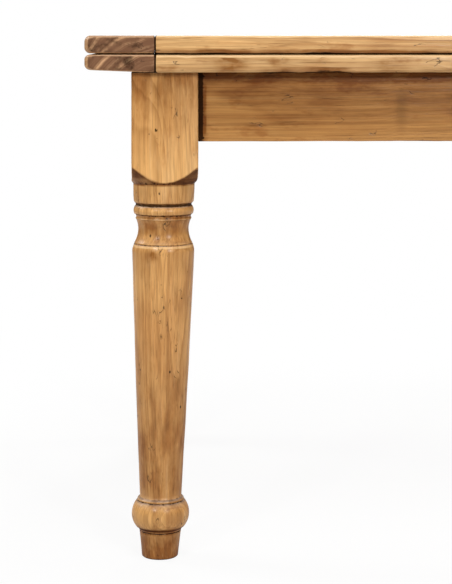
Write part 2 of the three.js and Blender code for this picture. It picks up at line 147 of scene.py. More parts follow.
def grain_frame(along, lean):
    """Rows that turn table directions into wood directions: two across the grain, then along it."""
    upright = {"X": ((0, 1, 0), (0, 0, 1), (1, 0, 0)), "Y": ((0, 0, 1), (1, 0, 0), (0, 1, 0)),
               "Z": ((1, 0, 0), (0, 1, 0), (0, 0, 1))}[along]
    return np.array(Matrix.Rotation(lean, 3, "X") @ Matrix(upright))


def set_wood(piece, along, pith, seed, tone=0.0, worn=0.0, wax_and_shade=0.0, grime_and_shade=0.0, lean=0.012,
             end_grain=(0.3, 0.85), dust_and_sheen=0.0):
    """Stores where each point lies in its log, and how worn, waxed, grimy and end-grained it is; the wear also paints
    highlights, and the wax and the grime also paint shade.

    pith is the heart of the log across the grain, from the piece's centre; tone is lighter or darker;
    end_grain is how squarely a face must cut the grain to start to look like end grain, and to look it fully;
    dust is how much pale colour lies on ledges that face up, both an old bloom of wax and a painted sheen.
    """
    mesh = piece.data
    co, out = rows_of(mesh), rows_of(mesh, "normal")
    rows = grain_frame(along, lean)
    centre = (co.min(0) + co.max(0)) / 2
    store(mesh, "grain", (co - centre) @ rows.T - np.array([*pith, seed * LOG_SPACING]))
    zero = np.zeros(len(co))
    end = smooth_step(*end_grain, np.abs(out @ rows[2]))
    # Ledges that face up get a pale bloom and a painted sheen
    ledge_dust_and_sheen = smooth_step(0.3, 0.75, out[:, 2]) * dust_and_sheen
    # rubbed holds wear with painted highlights, wax with painted shade, and end grain; tone holds tone, grime with
    # painted shade, and a pale bloom with a painted sheen
    store(mesh, "rubbed", np.stack([zero + worn, zero + wax_and_shade, end], 1))
    store(mesh, "tone", np.stack([zero + tone, zero + grime_and_shade, ledge_dust_and_sheen], 1))


def hand_over(piece, body, slot, *nodes, material=None):
    """Finishes a piece: its material, picked by slot, its body, and the CAD nodes that it stands for, which it hides.
    """
    piece.data.materials.clear()
    piece.data.materials.append(material or finishes[slot])
    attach(piece, body)
    if nodes:
        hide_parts(*nodes)


# ---- Nodes ----


class Graph:
    """Short calls that build one node tree."""

    def __init__(self, tree):
        self.tree = tree

    def feed(self, socket, value):
        if isinstance(value, bpy.types.Node):
            value = value.outputs[0]
        if isinstance(value, bpy.types.NodeSocket):
            self.tree.links.new(value, socket)
        else:
            socket.default_value = value

    def node(self, kind, given=(), **settings):
        """A node with its settings, and its inputs given in order or by name."""
        made = self.tree.nodes.new(kind)
        for key, value in settings.items():
            setattr(made, key, value)
        for key, value in given.items() if isinstance(given, dict) else enumerate(given):
            self.feed(made.inputs[key], value)
        return made

    def math(self, operation, *given, clamp=False):
        return self.node("ShaderNodeMath", given, operation=operation, use_clamp=clamp).outputs[0]

    def times(self, a, b, clamp=False):
        return self.math("MULTIPLY", a, b, clamp=clamp)

    def plus(self, a, b):
        return self.math("ADD", a, b)

    def times_plus(self, a, b, c):
        return self.math("MULTIPLY_ADD", a, b, c)

    def off_middle(self, value):
        """How far a noise is from its middle, either way."""
        return self.math("ABSOLUTE", self.math("SUBTRACT", value, 0.5))

    def vector(self, operation, *given):
        made = self.node("ShaderNodeVectorMath", given, operation=operation)
        return made.outputs["Value" if operation == "LENGTH" else "Vector"]

    def split(self, vector):
        return tuple(self.node("ShaderNodeSeparateXYZ", (vector,)).outputs)

    def join(self, x, y=0.0, z=0.0):
        return self.node("ShaderNodeCombineXYZ", (x, y, z)).outputs[0]

    def noise(self, place, stretch, detail=2.0, roughness=0.5, output="Fac"):
        place = self.vector("MULTIPLY", place, stretch)
        return self.node("ShaderNodeTexNoise", {"Vector": place, "Scale": 1.0, "Detail": detail,
                                                "Roughness": roughness}).outputs[output]

    def band(self, value, low, high, top=1.0, bottom=0.0):
        """Goes smoothly from bottom to top as the value goes from low to high."""
        return self.node("ShaderNodeMapRange", (value, low, high, bottom, top),
                         interpolation_type="SMOOTHSTEP").outputs[0]

    def fade(self, value, low, high, top=1.0):
        return self.band(value, low, high, 0.0, top)

    def ramp(self, value, stops):
        made = self.node("ShaderNodeValToRGB", (value,))
        elements = made.color_ramp.elements
        while len(elements) < len(stops):
            elements.new(0.5)
        for element, (place, shade) in zip(elements, stops):
            element.position = place
            element.color = (shade, shade, shade, 1)
        return made.outputs[0]

    def mix(self, share, a, b, blend="MIX"):
        """Two colours mixed; a plain colour is a tuple of three numbers."""
        a, b = ((*colour, 1) if isinstance(colour, tuple) else colour for colour in (a, b))
        return self.node("ShaderNodeMix", {"Factor": share, 6: a, 7: b}, data_type="RGBA",
                         blend_type=blend).outputs[2]

    def attribute(self, name):
        return self.node("ShaderNodeAttribute", attribute_name=name).outputs["Vector"]

    def stored(self, name, kind="FLOAT"):
        return self.node("GeometryNodeInputNamedAttribute", {"Name": name}, data_type=kind).outputs["Attribute"]

    def bump(self, height, strength, distance):
        return self.node("ShaderNodeBump", {"Strength": strength, "Distance": distance, "Height": height})


def fresh_graph(owner):
    """Empties the node tree of a material or a world, to build it anew."""
    owner.use_nodes = True
    owner.node_tree.nodes.clear()
    return Graph(owner.node_tree)


# ---- Wood and steel ----

# Near-black of dark wax in grooves, joints, holes and checks, also used as painted shade in corners and under edges
WAX_AND_SHADE = (0.011, 0.004, 0.001)
# Pale colour on ledges that face up: an old bloom of wax, and a painted sheen where they face the lamps
DUST_AND_SHEEN = (0.78, 0.60, 0.42)
# Stain clouds, and grime with painted shade, darken the wood towards these colours
STAIN_OVER, GRIME_AND_SHADE_OVER = (0.62, 0.45, 0.32), (0.46, 0.32, 0.19)
RING_WIDTH = 5 * MM
KNOT_CELLS, KNOT_RARITY, HOLE_RARITY = 6.5, 0.7, 0.76


def pine(name, early, late, end_dark, end_light, wax, worn, figure=0.8, stain=1.0, gloss=0.36,
         sapwood=(0.12, 0.16), streaks=190, hairs=0.6, polish=0.4):
    """Waxed pine, cut from a log: growth rings, knots, fibres, checks, end grain, wax and wear.

    early and late are the spring and summer wood; the end grain, the wax and the worn wood have their own
    colours; the wax colour also paints shade in corners and under edges, and the worn colour paints highlights
    on edges. figure is the contrast of the growth rings and stain that of the darker clouds; sapwood says how
    far from the heart the paler wood starts and is full. streaks is how closely the streaks lie, hairs how
    dark the hairlines are and polish how much the wax shines.
    """
    material = bpy.data.materials.new(name)
    g = fresh_graph(material)
    brown = tuple(0.5 * c for c in late)

    grain = g.attribute("grain")
    worn_and_sheen_at, wax_and_shade_at, end_at = g.split(g.attribute("rubbed"))
    tone, grime_and_shade, dust_and_sheen_at = g.split(g.attribute("tone"))

    def noise(across, along, detail=2.0, roughness=0.5, output="Fac"):
        """Noise with so many features to the metre across the grain and along it."""
        return g.noise(grain, (across, across, along), detail, roughness, output)

    # The trunk bends slowly, and its rings wobble a little
    bent = grain
    for across, along, detail, reach in ((5, 2.2, 1.0, 60 * MM), (30, 6, 2.0, 7 * MM)):
        way = g.vector("SUBTRACT", noise(across, along, detail, output="Color"), (0.5, 0.5, 0.5))
        bent = g.vector("ADD", bent, g.vector("MULTIPLY", way, (reach, reach, 0)))
    u, v, w = g.split(bent)
    radius = g.vector("LENGTH", g.join(u, v))

    # Knots: small branches that leave the heart of the log, few and far between
    place = g.join(g.times(g.math("ARCTAN2", v, u), 0.12), g.times(w, 0.75))
    cells = g.node("ShaderNodeTexVoronoi", {"Vector": place, "Scale": KNOT_CELLS}, voronoi_dimensions="2D")
    chance, size, _ = g.split(cells.outputs["Color"])
    has_knot = g.math("GREATER_THAN", chance, KNOT_RARITY)
    reach = g.times(cells.outputs["Distance"], 1 / KNOT_CELLS)
    knot_size = g.times_plus(g.times(size, size), 5.5 * MM, 1.4 * MM)
    near = g.math("DIVIDE", g.times_plus(noise(240, 240), 1.6 * MM, reach), knot_size)
    swirl = g.times(has_knot, g.times(g.fade(near, 0.0, 6.0), knot_size))
    knot = g.times(has_knot, g.fade(near, 0.95, 1.3))
    halo = g.times(has_knot, g.fade(near, 1.1, 3.5))
    radius = g.plus(radius, g.times(swirl, 1.3))

    # Growth rings: pale spring wood that darkens slowly to a thin line of summer wood
    uneven = g.noise(g.join(radius), (70, 1, 1), 1.0)
    count = g.plus(g.math("DIVIDE", radius, RING_WIDTH), g.times(uneven, 2.2))
    line = g.ramp(g.math("FRACT", count), [(0, 0.0), (0.35, 0.1), (0.72, 0.6), (0.9, 1.0), (1, 0.0)])
    depth = g.band(g.noise(g.join(g.math("FLOOR", count)), (0.73, 1, 1), 0.0), 0.32, 0.68, 1.0, 0.25)
    rings = g.times(line, depth)

    # Fibres, pores and slow changes of colour along the board
    fibre = noise(520, 12, 3.0, 0.6)
    streak = noise(streaks, streaks / 100, 2.0, 0.55)
    cloud = noise(14, 4.5, 4.0, 0.6)
    blotch = noise(38, 14, 4.0, 0.65)
    pores = g.band(noise(560, 18), 0.60, 0.72)

    wood = g.mix(g.times(rings, figure), early, late)
    wood = g.mix(g.band(streak, 0.45, 0.72, 0.6), wood, late)
    wood = g.mix(g.fade(streak, 0.22, 0.42, 0.45), wood, worn)
    wood = g.mix(g.band(g.times_plus(cloud, 0.03, radius), *sapwood, 0.28), wood, worn)
    wood = g.mix(g.fade(cloud, 0.26, 0.44, 0.4), wood, worn)
    stained = g.math("MAXIMUM", g.band(cloud, 0.48, 0.7, 0.65), g.band(blotch, 0.54, 0.68, 0.5))
    wood = g.mix(g.times(stained, stain), wood, g.mix(1.0, wood, STAIN_OVER, blend="MULTIPLY"))
    hair = g.off_middle(noise(150, 3.2, 3.0, 0.6))
    hair = g.times(g.fade(hair, 0.004, 0.02), g.band(noise(26, 9), 0.46, 0.6))
    wood = g.mix(g.times(hair, hairs), wood, brown)
    shade = g.plus(g.times_plus(g.math("SUBTRACT", fibre, 0.5), 0.8, 1.0), tone)
    shade = g.times(shade, g.times_plus(pores, -0.2, 1.0))
    wood = g.node("ShaderNodeVectorMath", {0: wood, "Scale": shade}, operation="SCALE").outputs[0]

    # End grain drinks the wax: dark, with paler rings
    end_line = g.band(g.noise(g.join(radius, g.times(w, 0.03)), (120, 1, 1), 4.0, 0.75), 0.45, 0.66)
    end_cloud = g.band(noise(45, 45, 4.0, 0.6), 0.36, 0.62)
    end_wood = g.mix(g.times(end_line, g.times_plus(end_cloud, 0.85, 0.15)), end_dark, end_light)
    end_wood = g.mix(g.band(blotch, 0.5, 0.7, 0.7), end_wood, wax)
    end_share = g.band(g.plus(end_at, g.times_plus(cloud, 0.3, -0.15)), 0.3, 0.75)
    wood = g.mix(end_share, wood, end_wood)

    # Knots, worm holes and fine checks
    wood = g.mix(g.times(halo, 0.5), wood, brown)
    wood = g.mix(knot, wood, g.mix(g.band(near, 0.15, 0.8), tuple(1.3 * c for c in late), wax))
    place = g.vector("MULTIPLY", grain, (70, 70, 44))
    holes = g.node("ShaderNodeTexVoronoi", {"Vector": place, "Scale": 1.0})
    hole_chance, hole_size, _ = g.split(holes.outputs["Color"])
    hole_reach = g.times_plus(hole_size, 0.08, 0.03)
    hole = g.times(g.fade(g.math("DIVIDE", holes.outputs["Distance"], hole_reach), 0.8, 1.2),
                   g.math("GREATER_THAN", hole_chance, HOLE_RARITY))
    wood = g.mix(g.times(hole, 0.85), wood, wax)
    crack = g.times(g.fade(g.off_middle(noise(110, 40)), 0.006, 0.022),
                    g.band(noise(48, 36, 1.0), 0.64, 0.69))
    wood = g.mix(g.times(crack, 0.7), wood, wax)

    # Wear on the edges, partly a painted highlight; grime with painted shade; a pale bloom with a painted sheen on
    # ledges; then wax in the hollows, with painted shade in corners and under edges
    ragged = noise(150, 40, 3.0, 0.65)
    # Paler wear on edges and ridges, partly a painted highlight
    wood = g.mix(g.band(g.times(worn_and_sheen_at, g.plus(ragged, 0.5)), 0.4, 0.95, 0.85), wood, worn)
    # Grime and painted shade darken the wood towards a duller colour
    dull = g.mix(1.0, wood, GRIME_AND_SHADE_OVER, blend="MULTIPLY")
    wood = g.mix(g.times(grime_and_shade, g.band(blotch, 0.36, 0.62, 1.4, 0.65), clamp=True), wood, dull)
    # Pale bloom and a painted sheen on ledges that face up
    wood = g.mix(g.times(dust_and_sheen_at, g.band(blotch, 0.35, 0.6, 0.25, 0.7)), wood, DUST_AND_SHEEN)
    # Dark wax, and painted shade in corners and under edges
    dashes = g.times_plus(noise(300, 60, 2.0, 0.6), 0.9, g.times_plus(ragged, 0.3, -0.6))
    wax_and_shade_share = g.band(g.plus(wax_and_shade_at, dashes), 0.42, 0.62, 0.9)
    wood = g.mix(wax_and_shade_share, wood, wax)

    height = g.times_plus(rings, 0.35, g.times(fibre, 0.5))
    height = g.times_plus(g.math("MAXIMUM", hole, crack), -1.5, height)
    height = g.times_plus(noise(60, 22, 3.0), 1.4, height)
    relief = g.bump(height, 0.6, 0.4 * MM)

    # The polish is dull in the end grain and where the wax lies thick, painted shade included
    looks = {"Base Color": wood, "Normal": relief, "Coat Normal": relief, "Specular IOR Level": 0.02,
             "Roughness": g.times_plus(end_share, 0.35, g.times_plus(fibre, 0.25, gloss)), "Coat Roughness": 0.27}
    if polish:
        bare = g.times(g.math("SUBTRACT", 1.0, wax_and_shade_share), g.times_plus(end_share, -0.7, 1.0))
        looks["Coat Weight"] = g.times(bare, polish)
    g.node("ShaderNodeOutputMaterial", (g.node("ShaderNodeBsdfPrincipled", looks),))
    return material


# Colours: spring and summer wood, dark and pale end grain, wax, worn wood
finishes = {
    "field_boards": pine("waxed_field_boards", (0.565, 0.332, 0.136), (0.32, 0.145, 0.042), (0.13, 0.06, 0.027),
                         (0.34, 0.18, 0.085), WAX_AND_SHADE, (0.68, 0.45, 0.22), figure=0.95, stain=1.1, streaks=150),
    "end_boards": pine("waxed_end_boards", (0.45, 0.255, 0.115), (0.28, 0.128, 0.046), (0.152, 0.072, 0.038),
                       (0.51, 0.29, 0.15), WAX_AND_SHADE, (0.44, 0.265, 0.15)),
    "legs": pine("waxed_legs", (0.625, 0.338, 0.117), (0.31, 0.13, 0.034), (0.135, 0.05, 0.013),
                 (0.30, 0.125, 0.036), WAX_AND_SHADE, (0.76, 0.49, 0.235), figure=0.6, stain=0.75, sapwood=(0.105, 0.15),
                 streaks=115, hairs=0.3),
    # Darker than the legs; part of that is painted shade under the top's overhang
    "aprons": pine("waxed_aprons", (0.38, 0.18, 0.051), (0.215, 0.083, 0.02), (0.11, 0.05, 0.018),
                   (0.22, 0.105, 0.036), WAX_AND_SHADE, (0.45, 0.245, 0.088), figure=0.45, stain=1.2, streaks=120,
                   hairs=0.5),
    "inner_frame": pine("planed_inner_frame", (0.66, 0.47, 0.27), (0.48, 0.29, 0.13), (0.36, 0.21, 0.11),
                        (0.50, 0.32, 0.18), (0.16, 0.09, 0.05), (0.72, 0.54, 0.34), stain=0.5, gloss=0.6,
                        polish=0.0),
    "bearers": pine("planed_bearers", (0.62, 0.41, 0.21), (0.44, 0.24, 0.10), (0.30, 0.16, 0.08),
                    (0.44, 0.26, 0.13), (0.13, 0.07, 0.035), (0.70, 0.50, 0.29), stain=0.5, gloss=0.55,
                    polish=0.05),
}


def steel():
    """Dull steel of old wood screws."""
    material = bpy.data.materials.new("dull_screw_steel")
    g = fresh_graph(material)
    patch = g.noise(g.node("ShaderNodeTexCoord").outputs["Object"], (900, 900, 900), 3.0)
    shader = g.node("ShaderNodeBsdfPrincipled", {
        "Base Color": g.mix(g.band(patch, 0.4, 0.65), (0.30, 0.28, 0.25), (0.11, 0.07, 0.045)),
        "Roughness": g.band(patch, 0.3, 0.7, 0.6, 0.35), "Metallic": 0.9, "Normal": g.bump(patch, 0.4, 0.1 * MM)})
    g.node("ShaderNodeOutputMaterial", (shader,))
    return material


screw_steel = steel()

# ---- Boards ----

CORNER_SIGNS = np.array([(-1, -1), (1, -1), (1, 1), (-1, 1)])
SIDE_NORMALS = np.array([(0, -1), (1, 0), (0, 1), (-1, 0)])
CORNER_STEPS = 5
SMALLEST_ROUND = 0.02 * MM
QUARTER_TURN = [math.pi / 2 * i / 6 for i in range(7)]


class Rim:
    """The outline of a board in plan, side by side from its front, with points about spacing apart."""

    def __init__(self, half_a, half_b, rounds, spacing):
        self.half, self.rounds = np.array([half_a, half_b]), np.array(rounds)
        side, share, on_corner = [], [], []
        for k in range(4):
            steps = max(2, round(2 * (half_b if k % 2 else half_a) / spacing))
            side += [k] * (steps + CORNER_STEPS)
            share += [i / steps for i in range(steps)] + [i / CORNER_STEPS for i in range(CORNER_STEPS)]
            on_corner += [False] * steps + [True] * CORNER_STEPS
        self.side, self.share, self.on_corner = np.array(side), np.array(share), np.array(on_corner)
        self.after = (self.side + 1) % 4

    def by_side(self, values):
        """One value for each side, eased from side to side round the corners."""
        values = np.array(values, float)
        here = values[self.side]
        return np.where(self.on_corner, here + (values[self.after] - here) * self.share, here)

    def at(self, inset):
        """The outline moved in by inset, which has one value for each point."""
        half = self.half[None, :] - inset[:, None]
        arcs = []
        for corner in (self.side, self.after):
            radius = np.maximum(self.rounds[corner] - inset, SMALLEST_ROUND)[:, None]
            arcs.append((CORNER_SIGNS[corner] * (half - radius), radius))
        normal = SIDE_NORMALS[self.side]
        start, end = (centre + normal * radius for centre, radius in arcs)
        straight = start + (end - start) * self.share[:, None]
        angle = (self.side - 1) * math.pi / 2 + self.share * math.pi / 2
        centre, radius = arcs[1]
        turned = centre + np.stack([np.cos(angle), np.sin(angle)], 1) * radius
        return np.where(self.on_corner[:, None], turned, straight)


def board(name, low, high, seed, upper, lower, rounds, joints=(), flat="Z", taper=0.0, spacing=6 * MM,
          insets=(16, 7, 2.5)):
    """A worn board between two corners, flat side to the flat axis, and its wear and wax, with a painted highlight
    along its upper rounding and painted shade along its lower edge.

    upper and lower give the rounding of the upper and lower edge of each side, and rounds that of the
    corners in plan. joints lists the sides that meet another board. taper lifts the underside at -X, or at
    +X if it is negative. insets are how far in from the rounding the flats have points, in millimetres.
    """
    low, high = np.array(low), np.array(high)
    order = {"Z": [0, 1, 2], "Y": [0, 2, 1]}[flat]
    size, centre = (high - low)[order], ((high + low) / 2)[order]
    thick = size[2]
    half = thick / 2
    rim = Rim(size[0] / 2, size[1] / 2, rounds, spacing)
    count = len(rim.side)
    flat_at = np.zeros(count)
    walk = np.concatenate([rim.at(flat_at), np.full((count, 1), seed * 0.31)], 1)
    joint = rim.by_side([1.0 if k in joints else 0.0 for k in range(4)])
    joint_wax = unit(joint * 2.2)
    free = 1 - joint
    unsteady = 1 + 0.3 * free * smooth_noise(walk, 35 * MM, seed) + 0.12 * free * smooth_noise(walk, 9 * MM, seed + 1)
    top_round = rim.by_side(upper) * unsteady
    low_round = rim.by_side(lower) * (1 + 0.22 * free * smooth_noise(walk, 30 * MM, seed + 2))
    patch = smooth_noise(walk, 75 * MM, seed + 6) + 0.4 * smooth_noise(walk, 20 * MM, seed + 7)
    patch = 1.25 * smooth_step(0.0, 0.6, patch)

    # Rings from the upper flat over the edge to the lower flat: inset, height, wear with a painted highlight, wax,
    # and painted shade along the lower edge
    rings = [(top_round + inset * MM, flat_at + half, 0, 0, 0) for inset in insets]
    # Along the upper rounding a pale line: wear, and a painted highlight
    for turn in QUARTER_TURN:
        rings.append((top_round * (1 - math.sin(turn)), half - top_round * (1 - math.cos(turn)),
                      math.sin(2 * turn) * 0.6 + 0.4, 0, 0))
    # Painted shade along the lower edge and the underside
    for level, low_edge_shade in ((0.25, 0), (0.5, 0), (0.78, 0), (0.86, 0.5)):
        rings.append((flat_at, (half - top_round) * (1 - level) + (low_round - half) * level, 0, 0, low_edge_shade))
    for turn in QUARTER_TURN:
        rings.append((low_round * (1 - math.cos(turn)), low_round * (1 - math.sin(turn)) - half, 0,
                      0.2 + 0.34 * math.sin(turn), 0.7))
    rings += [(low_round + inset * MM, flat_at - half, 0, 0, 0.4) for inset in reversed(insets)]

    verts, worn, wax_and_shade, dirt_and_shade = [], [], [], []
    for number, (inset, height, rub_and_sheen, wax, low_edge_shade) in enumerate(rings):
        on_side = len(insets) <= number < len(rings) - len(insets)
        flow = np.concatenate([rim.at(inset), height[:, None]], 1)
        sway = 0.35 * MM * smooth_noise(flow, 60 * MM, seed + 3) + 0.15 * MM * smooth_noise(flow, 14 * MM, seed + 4)
        dent = smooth_step(0.55, 0.95, smooth_noise(flow, 22 * MM, seed + 5)) * 0.8 * MM
        push = (sway - dent) * np.exp(-inset / (4 * MM)) * free
        inward = rim.at(inset + 1 * MM) - rim.at(inset)
        flow[:, :2] -= inward / np.linalg.norm(inward, axis=1, keepdims=True) * push[:, None]
        verts.append(flow)
        worn.append(rub_and_sheen * free)
        # Painted shade on the lower half of the lower rounding, where it faces down
        under = 0.4 * smooth_step(0.7, 1.0, (low_round - half - height) / low_round) * on_side
        wax_and_shade.append(unit((wax * patch + under) * free + joint_wax * on_side))
        dirt_and_shade.append(unit(low_edge_shade * free * (0.1 + 0.8 * patch)))
    co = np.concatenate(verts)
    if taper:
        lift = abs(taper) * unit((size[0] / 2 - math.copysign(1, taper) * co[:, 0]) / size[0])
        co[:, 2] += lift * (half - co[:, 2]) / thick
    co += centre
    last = (len(rings) - 1) * count
    faces = [list(range(count))]
    for row in range(0, last, count):
        for i in range(count):
            n = (i + 1) % count
            faces.append([row + i, row + count + i, row + count + n, row + n])
    faces.append([last + i for i in reversed(range(count))])
    if flat == "Y":
        co, faces = co[:, order], [face[::-1] for face in faces]
    return mesh_object(name, co, faces), *(np.concatenate(marks) for marks in (worn, wax_and_shade, dirt_and_shade))


ARRIS, END_ARRIS = 1.0 * MM, 1.9 * MM
TOP_ROUND, LEAF_ROUND, TOP_END_ROUND, END_ROUND = 3.0 * MM, 5.0 * MM, 8 * MM, 9.0 * MM
PLAN_ARRIS, PLAN_CORNER = 1.8 * MM, 16 * MM
LEAF_TAPER = 4 * MM
JOINT = 0.6 * MM
LEAF_DIRT = 0.1


def field_boards(prefix, edge, x0, x1, body, seed, stains=()):
    """The five long boards of the top or of a leaf; the outer two have a worn long edge.

    stains are marks on the front edge, each with its distance from x0, its reach and its share.
    """
    for i in range(1, 6):
        node = f"{prefix}_board_{i}"
        low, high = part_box(node)
        low.x, high.x = x0, x1
        front, back = i == 1, i == 5
        sides = [k for k, outer in enumerate((front, False, back, False)) if not outer]
        rounds = [edge if front else ARRIS, END_ARRIS, edge if back else ARRIS, END_ARRIS]
        piece, worn, wax_and_shade, dirt_and_shade = board(f"{prefix}_field_{i}", low, high, seed + i, rounds, rounds,
                                          [PLAN_ARRIS] * 4, sides)
        place = rows_of(piece.data)
        for at, reach, share in stains if front else ():
            shade = np.exp(-((place[:, 0] - x0 - at) / reach) ** 2) * (0.7 + 0.6 * smooth_noise(place, 14 * MM, seed))
            dirt_and_shade = np.maximum(dirt_and_shade, share * shade * (place[:, 2] < high.z - edge))
        # Painted shade along the lower front and back edges of the top, over the gap to the leaf
        if body == "base" and (front or back):
            rise = place[:, 2] - low.z + 0.6 * MM * smooth_noise(place, 20 * MM, seed + 8)
            gap_shade = (0.75 + 0.3 * smooth_noise(place, 45 * MM, seed)) * smooth_step(6.5 * MM, 3.5 * MM, rise)
            dirt_and_shade = np.maximum(dirt_and_shade, gap_shade)
        pith = (rng.uniform(-0.07, 0.07), rng.uniform(-0.11, -0.05))
        dirt_and_shade = unit(dirt_and_shade + (0 if body == "base" else LEAF_DIRT))
        set_wood(piece, "X", pith, seed + i, rng.uniform(-0.07, 0.05), worn, wax_and_shade, dirt_and_shade,
                 lean=rng.uniform(-0.02, 0.02))
        hand_over(piece, body, "field_boards", node)


def end_board(node, body, seed, upper, at_left, taper=0.0):
    """A breadboard end; its grain runs across the table, so its front shows end grain."""
    low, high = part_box(node)
    inner, outer, inner_corners = (1, 3, (1, 2)) if at_left else (3, 1, (0, 3))
    up, down = [TOP_ROUND] * 4, [LEAF_ROUND] * 4
    up[inner] = down[inner] = END_ARRIS
    up[outer], down[outer] = upper, END_ROUND
    rounds = [PLAN_ARRIS if k in inner_corners else PLAN_CORNER for k in range(4)]
    piece, worn, wax_and_shade, dirt_and_shade = board(f"{node}_worn", low, high, seed, up, down, rounds, (inner,),
                                      taper=taper if at_left else -taper, spacing=4 * MM)
    set_wood(piece, "Y", (-0.13, 0.085) if at_left else (-0.12, -0.07), seed, rng.uniform(-0.04, 0.03), worn,
             wax_and_shade, 0.35 * dirt_and_shade, lean=0.01, end_grain=(0.45, 0.97))
    hand_over(piece, body, "end_boards", node)


def side_x(node, right):
    """Where a node's left or right side is."""
    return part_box(node)[1 if right else 0].x


field_boards("top", TOP_ROUND, side_x("top_end_left", True) + JOINT, side_x("top_end_right", False) - JOINT,
             "base", 10)
end_board("top_end_left", "base", 21, TOP_END_ROUND, True)
end_board("top_end_right", "base", 22, TOP_END_ROUND, False)
field_boards("left_leaf", LEAF_ROUND, side_x("left_leaf_end", True) + JOINT, side_x("left_leaf_board_3", True),
             "left_leaf", 30, ((103 * MM, 22 * MM, 1.2), (172 * MM, 16 * MM, 0.7), (335 * MM, 26 * MM, 0.6)))
field_boards("right_leaf", LEAF_ROUND, side_x("right_leaf_board_3", False), side_x("right_leaf_end", False) - JOINT,
             "right_leaf", 40)
end_board("left_leaf_end", "left_leaf", 51, END_ROUND, True, LEAF_TAPER)
end_board("right_leaf_end", "right_leaf", 52, END_ROUND, False, LEAF_TAPER)

centre_rounds = [LEAF_ROUND, ARRIS, LEAF_ROUND, ARRIS]
centre, worn, wax_and_shade, dirt_and_shade = board("centre_board_worn", *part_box("centre_board"), 61, centre_rounds, centre_rounds,
                                   [1.5 * MM] * 4, (1, 3))
set_wood(centre, "X", (0.12, -0.09), 61, -0.03, worn, wax_and_shade, unit(dirt_and_shade + LEAF_DIRT))
hand_over(centre, "base", "field_boards", "centre_board")

# ---- Aprons ----

APRON_GAP, APRON_LIFT = 0.3 * MM, 1.0 * MM

for node, front, pith in (("front_apron", 1, (-0.02, 0.09)), ("back_apron", 0, (0.03, -0.1))):
    low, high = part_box(node)
    low.x, high.x = leg_x + block_half + APRON_GAP, -leg_x - block_half - APRON_GAP
    low.z += APRON_LIFT
    apron, worn, wax_and_shade, _ = board(f"{node}_worn", low, high, 71 + front, [ARRIS] * 4, [ARRIS] * 4, [1.2 * MM] * 4,
                                  flat="Y", insets=(16, 12, 9.5, 8, 6, 4.6, 3.4, 2.4, 1.2))
    place = rows_of(apron.data)
    end, depth = high.x - np.abs(place[:, 0]), high.z - place[:, 2]
    ragged = end + 0.5 * MM * smooth_noise(place, 18 * MM, 74 + front)
    # Painted shade in the corner against each leg, and past it a painted shadow that the leg casts on the apron
    corner_shade = smooth_step(7.0 * MM, 5.2 * MM, ragged) + 0.42 * smooth_step(13.5 * MM, 7 * MM, ragged)
    # Painted shade at the ends beside the legs, a painted shadow of the top along the upper edge, and painted shade
    # below it under the top's overhang
    grime_and_shade = unit(smooth_step(14 * MM, 9 * MM, end) + smooth_step(15.6 * MM, 13.4 * MM, depth)
                 + 0.55 * smooth_step(36 * MM, 18 * MM, depth))
    set_wood(apron, "X", pith, 71 + front, 0.0, worn * 0.5, unit(0.4 * wax_and_shade + corner_shade), grime_and_shade, lean=0.008)
    hand_over(apron, "base", "aprons", node)

# ---- Turned legs ----


